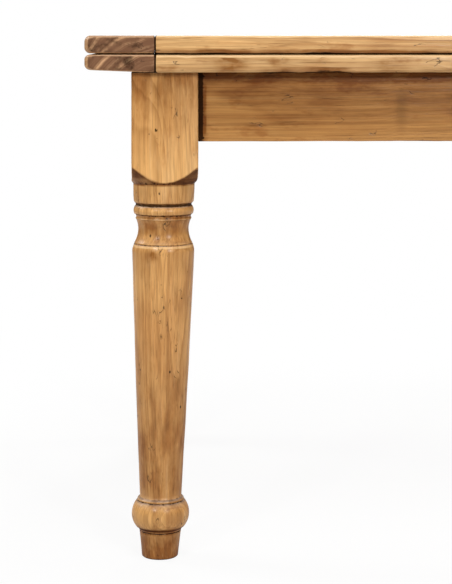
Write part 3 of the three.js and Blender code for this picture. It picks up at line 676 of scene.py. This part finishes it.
def turning_line():
    """Heights and radii up the leg in millimetres, from the floor to the top of the block."""
    rows = [(0.0, 25.0)]

    def curve(steps, z1, radius):
        z0 = rows[-1][0]
        rows.extend([(z0 + (z1 - z0) * i / steps, radius(i / steps)) for i in range(1, steps)] + [(z1, radius(1))])

    def to(steps, z1, r1, swell=0.0):
        r0 = rows[-1][1]
        curve(steps, z1, lambda t: r0 + (r1 - r0) * t + swell * math.sin(math.pi * t))

    # Foot pad, the fine line over it, and the cove up to the ball
    to(3, 1.8, 26.8, 0.25)
    to(12, 39.2, 30.6, -0.2)
    to(3, 40.1, 29.9)
    to(3, 41.0, 31.2)
    ball_foot, ball_centre, collar_foot = 46.0, 64.7, 85.4
    ball, core, rise, drop = 42.5, 20.0, 28.0, 26.0

    def ball_at(z):
        share = (z - ball_centre) / (rise if z > ball_centre else drop)
        return core + (ball - core) * math.sqrt(1 - share * share)

    to(8, 45.4, ball_at(ball_foot) - 0.9, -0.7)
    to(2, ball_foot, ball_at(ball_foot))
    curve(34, collar_foot, lambda t: ball_at(ball_foot + (collar_foot - ball_foot) * t))

    # Collar between the ball and the shaft
    to(3, 85.9, 33.7)
    to(3, 86.6, 34.5)
    to(8, 90.4, 31.9, 0.75)
    to(3, 91.0, 30.7)

    # Shaft, and its round shoulder under the neck
    under = block_foot / MM
    band_foot = under - 26.8
    bead_head = band_foot - 5.7
    bead_foot = bead_head - 11.2
    fillet = bead_foot - 6.4
    neck_top = fillet - 1.0
    neck_foot = neck_top - 35.2
    vase_head = neck_foot - 1.6
    neck_low, neck_high, waist = 42.6, 40.3, 37.1
    to(70, vase_head - 11.0, 45.6, 0.6)
    curve(10, vase_head, lambda t: 43.2 + 2.4 * math.cos(math.pi / 2 * t))
    to(3, vase_head + 0.6, 41.9)
    to(3, neck_foot, neck_low)
    pull = 2 * waist - (neck_low + neck_high) / 2
    curve(30, neck_top, lambda t: (1 - t) ** 2 * neck_low + 2 * t * (1 - t) * pull + t * t * neck_high)

    # Thin ridge, hollow, bead, groove and band
    to(3, fillet - 0.3, 41.0)
    to(3, fillet + 0.3, 40.8)
    to(8, bead_foot - 0.4, 41.4, -1.0)
    to(3, bead_foot + 0.4, 43.1)
    to(16, bead_head, 42.4, 1.3)
    to(4, bead_head + 1.6, 40.9)
    to(4, band_foot - 1.4, 41.0)
    to(4, band_foot + 0.2, 43.1)
    to(4, band_foot + 2.0, 44.0)
    to(14, under, 44.9, 0.25)

    # The corners of the block, turned off to a cone that ends at the band
    corner, top = block_half / MM * math.sqrt(2), frame_top / MM
    to(3, under + 0.6, 44.9)
    to(6, under + 3.6, 47.4)
    to(42, under + 29.2, corner + 1)
    to(50, top - 1.2, corner + 1)
    to(3, top, corner - 0.2)
    return np.array(rows) * MM


def node_tree(name, sockets):
    """A Geometry Nodes tree with named inputs, its helper and its inputs."""
    tree = bpy.data.node_groups.new(name, "GeometryNodeTree")
    for title, kind in {"Geometry": "Geometry", **sockets}.items():
        tree.interface.new_socket(title, in_out="INPUT", socket_type=f"NodeSocket{kind}")
    tree.interface.new_socket("Geometry", in_out="OUTPUT", socket_type="NodeSocketGeometry")
    g = Graph(tree)
    return tree, g, g.node("NodeGroupInput").outputs


def painted(g, shape, finish):
    """Ends a tree: the shape with its material."""
    shape = g.node("GeometryNodeSetMaterial", {"Geometry": shape, "Material": finish})
    g.node("NodeGroupOutput", (shape,))


def grown(piece, tree, values):
    """Runs a tree on a piece and gives back the result as a plain mesh; the piece is used up."""
    modifier = piece.modifiers.new(tree.name, "NODES")
    modifier.node_group = tree
    for item in tree.interface.items_tree:
        if item.in_out == "INPUT" and item.name in values:
            modifier[item.identifier] = values[item.name]
    bpy.context.view_layer.update()
    mesh = bpy.data.meshes.new_from_object(piece.evaluated_get(bpy.context.evaluated_depsgraph_get()))
    piece.modifiers.clear()
    bpy.data.objects.remove(piece)
    return mesh


def turned_leg_tree():
    """Sweeps a round section up a line, as wide as the line says, then cuts it back to a square block."""
    tree, g, given = node_tree("turned_leg", {
        "Sides": "Int", "Half Block": "Float", "Corner Sharpness": "Float", "Corner Crowding": "Float",
        "Edge Softness": "Float", "Finish": "Material"})
    axis = g.node("GeometryNodeMeshToCurve", (given["Geometry"],))
    radius = g.stored("turning_radius")
    circle = g.node("GeometryNodeCurvePrimitiveCircle", {"Resolution": given["Sides"], "Radius": 1.0})

    # More points towards the four corners of the block
    place = g.node("GeometryNodeInputPosition").outputs[0]
    x, y, z = g.split(place)
    angle = g.math("ARCTAN2", y, x)
    crowd = g.times(g.math("SINE", g.times(angle, 4.0)), g.times(given["Corner Crowding"], 0.25))
    angle = g.plus(angle, crowd)
    crowded = g.join(g.math("COSINE", angle), g.math("SINE", angle))
    circle = g.node("GeometryNodeSetPosition", {"Geometry": circle, "Position": crowded})
    sweep = g.node("GeometryNodeCurveToMesh", {"Curve": axis, "Profile Curve": circle, "Fill Caps": True,
                                               "Scale": radius})

    # Half the block over the length of (cos, sin), measured with a high power, is a square with soft corners
    reach = g.math("MAXIMUM", g.vector("LENGTH", g.join(x, y)), 1e-6)
    power = given["Corner Sharpness"]
    across, away = (g.math("POWER", g.math("ABSOLUTE", g.math("DIVIDE", part, reach)), power) for part in (x, y))
    norm = g.math("POWER", g.plus(across, away), g.math("DIVIDE", 1.0, power))
    square = g.math("DIVIDE", given["Half Block"], norm)
    share = g.math("DIVIDE", g.math("SMOOTH_MIN", reach, square, given["Edge Softness"]), reach)
    cut = g.join(g.times(x, share), g.times(y, share), z)
    painted(g, g.node("GeometryNodeSetPosition", {"Geometry": sweep, "Position": cut}), given["Finish"])
    return tree


# Each mark has a height, a reach and a share; the first row goes up from the floor, the second from the block
LEG_MARKS = {
    # Dark wax in the grooves, and painted shade just under the ball and the bead
    "wax": (((40.1, 1.1, 0.7), (43.0, 3.4, 0.3), (45.6, 1.1, 0.42), (85.7, 0.9, 0.5), (83.4, 2.0, 0.2),
             (91.1, 1.2, 0.42), (18.0, 22.0, 0.32)),
            ((-87.3, 1.0, 0.5), (-44.6, 1.5, 0.5), (-29.6, 1.9, 0.9), (0.4, 0.8, 0.24))),
    # Paler wear on ridges and crests, partly a painted highlight where a ridge catches the light
    "wear": (((42.2, 0.9, 0.4), (88.2, 2.0, 0.55), (82.2, 3.0, 0.3)),
             ((-90.2, 2.4, 0.85), (-86.1, 0.9, 0.6), (-50.2, 0.8, 0.8), (-37.5, 3.0, 0.45), (-25.2, 1.2, 0.5))),
    # Painted shade under the ball, in the neck under the bead and at the block's top under the table top; the pad and
    # the shaft darker towards the bottom
    "grime_and_shade": (((0.0, 43.0, 1.0), (42.0, 5.5, 1.0), (91.2, 9.0, 0.4), (150.0, 135.0, 0.6)),
              ((0.2, 1.4, 1.0), (-46.0, 3.6, 0.8), (-60.0, 17.0, 0.62), (-77.5, 12.0, 0.3), (-29.0, 5.0, 0.5),
               (-15.0, 14.0, 0.22), (-110.0, 26.0, 0.24), (170.0, 96.0, 0.62))),
}
# Each spot has a place across the leg and up from the block's foot, its reach each way and a share
STAINS = ((-15.5, -102, 8, 6, 1.0), (-9.7, -80, 4, 7, 0.8), (-1, -69, 2, 12, 0.5), (-22, -60, 6, 8, 0.45))
KNOT = ((-12, 80, 2.4, 3.4, 0.8), (-10.5, 69, 3, 3, 0.5))
# For each leg, the heart of its log, its tone and how far its foot has moved in drying, in millimetres
LEG_WOOD = {"front_left": ((-0.034, 0.052), -0.02, (-7.6, 0.0)), "front_right": ((-0.06, 0.03), 0.02, (1.0, -1.5)),
            "back_right": ((0.05, -0.04), -0.03, (-1.5, 1.0)), "back_left": ((-0.03, -0.06), 0.01, (1.0, 1.0))}
OFF_CENTRE = -1.2 * MM


def leg_marks(up, kind):
    """How much dark wax, wear or grime a leg has at each height, with painted shade and painted highlights among
    them.
    """
    total = np.zeros(len(up))
    for foot, marks in zip((0, block_foot / MM), LEG_MARKS[kind]):
        for height, reach, share in marks:
            total = np.maximum(total, share * np.exp(-np.abs((up - (foot + height)) / reach) ** 3))
    return total


def spots(co, marks):
    """Old marks on the front of a leg."""
    across, up = co[:, 0] / MM, co[:, 2] / MM
    total = sum(share * np.exp(-((across - x) / wide) ** 2 - ((up - (block_foot / MM + z)) / high) ** 2)
                for x, z, wide, high, share in marks)
    return total * (co[:, 1] < 0) * (1 + 0.8 * smooth_noise(co, 6 * MM, 97))


def leg_meshes():
    """The four legs, from one turned mesh, each with its own grain, dents and wear."""
    rows = turning_line()
    axis = mesh_object("leg_axis", [(0, 0, z) for z, _ in rows], [])
    axis.data.edges.add(len(rows) - 1)
    axis.data.edges.foreach_set("vertices", [k for i in range(len(rows) - 1) for k in (i, i + 1)])
    store(axis.data, "turning_radius", rows[:, 1])
    turned = grown(axis, turned_leg_tree(), {
        "Sides": 216, "Half Block": block_half, "Corner Sharpness": 34.0, "Corner Crowding": 0.6,
        "Edge Softness": 0.7 * MM, "Finish": finishes["legs"]})

    co = rows_of(turned)
    height, up = co[:, 2], co[:, 2] / MM
    wax_and_shade, worn, grime_and_shade = (leg_marks(up, kind) for kind in ("wax", "wear", "grime_and_shade"))
    in_block = smooth_step(block_foot, block_foot + 2 * MM, height)
    reach = np.hypot(co[:, 0], co[:, 1])
    corner = in_block * smooth_step(block_half * 1.33, block_half * 1.39, reach)
    turned_off = smooth_step(0.9 * MM, 0.2 * MM, np.interp(height, rows[:, 0], rows[:, 1]) - reach)
    shoulder = in_block * turned_off * (up < block_foot / MM + 30)
    wax_and_shade = unit(wax_and_shade + 0.42 * shoulder * smooth_step(block_foot + 14 * MM, block_foot + 2 * MM, height))
    ball = smooth_step(46, 53, up) * smooth_step(85, 76, up)
    grime_and_shade = unit(grime_and_shade * (1 - 0.85 * ball) + 0.55 * shoulder)
    stains = spots(co, STAINS)
    marked = {"front_left": (unit(wax_and_shade + spots(co, KNOT) + 0.36 * stains), unit(grime_and_shade + stains))}
    dried = unit(1 - height / block_foot)
    turning = smooth_step(block_foot + 12 * MM, block_foot, height)

    for seed, (name, (pith, tone, lean)) in enumerate(LEG_WOOD.items(), 81):
        x, y = CORNERS[name]
        shifted = co + np.array([x * abs(leg_x), y * abs(leg_y), 0])
        sway = 0.25 * MM * smooth_noise(shifted, 45 * MM, seed) + 0.12 * MM * smooth_noise(shifted, 8 * MM, seed + 9)
        nick = corner * smooth_step(0.35, 0.9, smooth_noise(shifted, 13 * MM, seed + 4)) * MM
        chip = worn * (1 - in_block) * smooth_step(0.45, 0.95, smooth_noise(shifted, 16 * MM, seed + 5)) * 0.9 * MM
        mesh = turned.copy()
        side = rows_of(mesh, "normal") * np.array([1, 1, 0])
        moved = shifted + side * (sway - nick - chip)[:, None]
        moved[:, :2] += dried[:, None] * np.array(lean) * MM
        if name == "front_left":
            moved[:, 0] += turning * OFF_CENTRE
        mesh.vertices.foreach_set("co", moved.astype(np.float32).ravel())
        mesh.shade_smooth()
        mesh.update()
        leg = link(f"turned_leg_{name}", mesh)
        leg_wax_and_shade, leg_grime_and_shade = marked.get(name, (wax_and_shade, grime_and_shade))
        set_wood(leg, "Z", pith, seed, tone, unit(worn + corner * 0.45), leg_wax_and_shade, leg_grime_and_shade, lean=0.02,
                 end_grain=(0.34, 0.84), dust_and_sheen=0.5)
        hand_over(leg, "base", "legs", f"leg_{name}")


leg_meshes()

# ---- Inner pieces: the machined shapes with eased edges ----

WELD, FLAT_ANGLE, SHARP_ANGLE = 0.01 * MM, math.radians(2), math.radians(35)
EASE, PEG_EASE = 0.8 * MM, 0.3 * MM


def eased(node, along, slot, body, seed, ease=EASE):
    """A copy of a CAD node with its sharp edges eased, in wood of its own."""
    mesh = frame["nodes"][node].data.copy()
    mesh.name = f"{node}_eased"
    bm = bmesh.new()
    bm.from_mesh(mesh)
    bmesh.ops.remove_doubles(bm, verts=bm.verts, dist=WELD)
    bmesh.ops.dissolve_limit(bm, angle_limit=FLAT_ANGLE, verts=bm.verts, edges=bm.edges)
    sharp = [e for e in bm.edges if len(e.link_faces) == 2 and e.calc_face_angle(0) > SHARP_ANGLE]
    bmesh.ops.bevel(bm, geom=sharp, offset=ease, segments=2, profile=0.5, affect="EDGES", clamp_overlap=True)
    bmesh.ops.triangulate(bm, faces=bm.faces)
    bm.verts.index_update()  # The same order of faces each time
    bm.faces.sort(key=lambda face: float(np.polyval(sorted(v.index for v in face.verts), len(bm.verts))))
    for face in bm.faces:
        face.smooth = False
    bm.to_mesh(mesh)
    bm.free()
    piece = link(mesh.name, mesh)
    set_wood(piece, along, (0.05, -0.07), seed, rng.uniform(-0.05, 0.05))
    hand_over(piece, body, slot, node)


for along, slot, seed, ease, nodes in (
        ("Y", "aprons", 101, EASE, ("left_apron", "right_apron")),
        ("Y", "inner_frame", 111, EASE, ("left_cross_rail", "right_cross_rail")),
        ("X", "inner_frame", 121, EASE, [f"corner_brace_{where}" for where in CORNERS]),
        ("Z", "inner_frame", 131, PEG_EASE, ("left_peg", "right_peg"))):
    for number, node in enumerate(nodes):
        eased(node, along, slot, "base", seed + number, ease)
for number, (side, place) in enumerate((s, p) for s in ("left", "right") for p in ("front", "back")):
    eased(f"{side}_{place}_bearer", "X", "bearers", f"{side}_leaf", 141 + number)
    eased(f"{side}_{place}_stop", "X", "inner_frame", f"{side}_leaf", 151 + number)

# ---- Screws ----

HEAD_RADIUS, HEAD_DEPTH, SLOT_WIDTH, HEAD_SIDES = 4.2 * MM, 1.6 * MM, 1.1 * MM, 24
PROUD = 0.15 * MM
BRACE_THICKNESS, BRACE_GAP = 28 * MM, 0.25 * MM
# How far screws stand from the ends of bearers and boards, and from the middle of braces and rails
BEARER_END, BOARD_END, BRACE_STEP, RAIL_STEP = 50 * MM, 30 * MM, 45 * MM, 150 * MM


def screw_tree():
    """Slotted screw heads, let in at each point, facing as the point says."""
    tree, g, given = node_tree("screw_heads", {
        "Head Radius": "Float", "Head Depth": "Float", "Slot Width": "Float", "Finish": "Material"})
    depth = given["Head Depth"]
    head = g.node("GeometryNodeMeshCylinder", {"Vertices": HEAD_SIDES, "Radius": given["Head Radius"],
                                               "Depth": depth}, fill_type="NGON")
    bar = g.node("GeometryNodeMeshCube", {
        "Size": g.join(g.times(given["Head Radius"], 3.0), given["Slot Width"], depth)})
    bar = g.node("GeometryNodeTransform", {"Geometry": bar, "Translation": g.join(0.0, 0.0, g.times(depth, 0.6))})
    slotted = g.node("GeometryNodeMeshBoolean", (head, bar), operation="DIFFERENCE")
    facing = g.stored("facing", "FLOAT_VECTOR")
    spin = g.stored("spin")
    about = g.node("FunctionNodeAxisAngleToRotation", {"Axis": (0, 0, 1), "Angle": spin})
    aim = g.node("FunctionNodeAlignRotationToVector", {"Rotation": about, "Vector": facing}, axis="Z")
    heads = g.node("GeometryNodeInstanceOnPoints", {"Points": given["Geometry"], "Instance": slotted,
                                                    "Rotation": aim})
    painted(g, g.node("GeometryNodeRealizeInstances", (heads,)), given["Finish"])
    return tree


def screws(body, slot, places, tree):
    """One mesh of screw heads for a body; each place is a point on a face and the way that it faces."""
    sunk = PROUD - HEAD_DEPTH / 2
    points = mesh_object(f"{body}_screws_points", [Vector(at) + Vector(way) * sunk for at, way in places], [])
    store(points.data, "facing", [way for _, way in places])
    store(points.data, "spin", rng.uniform(0, math.pi, len(places)))
    piece = link(f"{body}_screws", grown(points, tree, {
        "Head Radius": HEAD_RADIUS, "Head Depth": HEAD_DEPTH, "Slot Width": SLOT_WIDTH, "Finish": screw_steel}))
    hand_over(piece, body, slot, material=screw_steel)


def leaf_screws(side):
    """Screws up through the bearers into the leaf, and through the stops into the bearers."""
    places = []
    leaf_low, leaf_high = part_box(f"{side}_leaf_board_3")
    for place in ("front", "back"):
        low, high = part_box(f"{side}_{place}_bearer")
        start, end = max(low.x, leaf_low.x) + BEARER_END, min(high.x, leaf_high.x) - BEARER_END
        places += [((start + (end - start) * share, (low.y + high.y) / 2, low.z), (0, 0, -1))
                   for share in (0, 1 / 3, 2 / 3, 1)]
        stop_low, stop_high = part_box(f"{side}_{place}_stop")
        outside = stop_low.y + stop_high.y > low.y + high.y
        face, way = (stop_high.y, 1) if outside else (stop_low.y, -1)
        places += [(((stop_low.x + stop_high.x) / 2, face, stop_low.z + (stop_high.z - stop_low.z) * share),
                    (0, way, 0)) for share in (0.25, 0.75)]
    return places


def base_screws():
    """Screws through the braces into the aprons, and up through the centre board into the top."""
    places = []
    for where, (sign_x, sign_y) in CORNERS.items():
        low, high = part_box(f"corner_brace_{where}")
        total = abs(leg_x) + abs(leg_y) - 2 * block_half - 0.2 * MM - BRACE_THICKNESS * math.sqrt(2) + BRACE_GAP
        for offset in (-BRACE_STEP, BRACE_STEP):
            x = abs(low.x + high.x) / 2 + offset
            places.append(((sign_x * x, sign_y * (total - x), (low.z + high.z) / 2),
                           Vector((-sign_x, -sign_y, 0)).normalized()))
    low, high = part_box("centre_board")
    apron_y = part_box("front_apron")[1].y
    for i in range(1, 6):
        board_low, board_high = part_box(f"top_board_{i}")
        y = (board_low.y + board_high.y) / 2
        if abs(y) < abs(apron_y) - 20 * MM:
            places += [((x, y, low.z), (0, 0, -1)) for x in (low.x + BOARD_END, high.x - BOARD_END)]
    for node in ("left_cross_rail", "right_cross_rail"):
        low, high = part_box(node)
        places += [(((low.x + high.x) / 2, y, low.z), (0, 0, -1)) for y in (-RAIL_STEP, 0.0, RAIL_STEP)]
    return places


heads = screw_tree()
screws("base", "inner_frame", base_screws(), heads)
for side in ("left", "right"):
    screws(f"{side}_leaf", "bearers", leaf_screws(side), heads)

# ---- Floor, lights and camera ----

FLOOR_HALF, FLOOR_GREY = 9.0, 0.66
SKY_LEVEL, SKY_COLOUR = 0.14, (1, 0.985, 0.96, 1)
LENS, SENSOR, SHIFT_UP = 108.6, 36, -0.1676
CAMERA_BACK, CAMERA_LEFT, EYE_HEIGHT = 2.5, 0.017, 0.762
LOOK_DOWN, LOOK_RIGHT = 4.96, 2.375


def floor():
    """A pale floor that keeps the table's shadow and looks white to the camera."""
    corners = [(x * FLOOR_HALF, y * FLOOR_HALF, 0) for x, y in CORNERS.values()]
    piece = mesh_object("floor", corners, [[0, 1, 2, 3]])
    material = bpy.data.materials.new("pale_floor")
    g = fresh_graph(material)
    diffuse = g.node("ShaderNodeBsdfDiffuse", {"Color": (FLOOR_GREY, FLOOR_GREY, FLOOR_GREY, 1)})
    glow = g.node("ShaderNodeEmission", {"Strength": 1.0})
    seen = g.node("ShaderNodeLightPath").outputs["Is Camera Ray"]
    spread = g.vector("MULTIPLY", g.node("ShaderNodeTexCoord").outputs["Object"], (0.6, 1, 0))
    far = g.band(g.vector("LENGTH", spread), 0.6, 1.8, 1.0, 0.9)
    g.node("ShaderNodeOutputMaterial", (g.node("ShaderNodeMixShader", (g.times(seen, far), diffuse, glow)),))
    piece.data.materials.append(material)


def world():
    """Even light from all round, and white where the camera sees past the floor."""
    scene.world = bpy.data.worlds.new("studio")
    g = fresh_graph(scene.world)
    soft = g.node("ShaderNodeBackground", {"Color": SKY_COLOUR, "Strength": SKY_LEVEL})
    white = g.node("ShaderNodeBackground", {"Color": (1, 1, 1, 1)})
    seen = g.node("ShaderNodeLightPath").outputs["Is Camera Ray"]
    g.node("ShaderNodeOutputWorld", (g.node("ShaderNodeMixShader", (seen, soft, white)),))


def softbox(name, target, azimuth, elevation, distance, size, power):
    """A square lamp, seen from its target at degrees of azimuth from -Y towards +X and of elevation."""
    lamp = bpy.data.lights.new(name, "AREA")
    lamp.shape, lamp.size, lamp.energy = "SQUARE", size, power
    holder = link(name, lamp)
    a, e = math.radians(azimuth), math.radians(elevation)
    way = Vector((math.sin(a) * math.cos(e), -math.cos(a) * math.cos(e), math.sin(e)))
    holder.location = Vector(target) + way * distance
    holder.rotation_euler = (-way).to_track_quat("-Z", "Y").to_euler()


def camera():
    """In front of the left leg, a little to its left so that it hides the leg behind, and level with the top."""
    data = bpy.data.cameras.new("camera")
    data.sensor_width, data.lens, data.shift_y = SENSOR, LENS, SHIFT_UP
    data.clip_start, data.clip_end = 0.05, 60
    scene.camera = link("camera", data)
    scene.camera.location = (leg_x - CAMERA_LEFT, front_edge - CAMERA_BACK, EYE_HEIGHT)
    scene.camera.rotation_euler = (math.pi / 2 - math.radians(LOOK_DOWN), 0, -math.radians(LOOK_RIGHT))


floor()
world()
near_corner = (leg_x, front_edge, 0.6)
middle = (0, 0, 0.5)
softbox("left_key", near_corner, -30, 24, 2.2, 0.2, 18)
softbox("right_key", near_corner, 25, 17, 2.2, 0.2, 19)
softbox("overhead", (leg_x / 2, front_edge, 0.7), 0, 65, 3.0, 1.5, 62)
softbox("left_fill", middle, -105, 28, 4.0, 1.4, 70)
softbox("right_fill", middle, 100, 28, 4.0, 1.4, 90)
softbox("back_fill", middle, 178, 30, 4.0, 1.6, 120)
camera()

scene.view_settings.view_transform = "Standard"
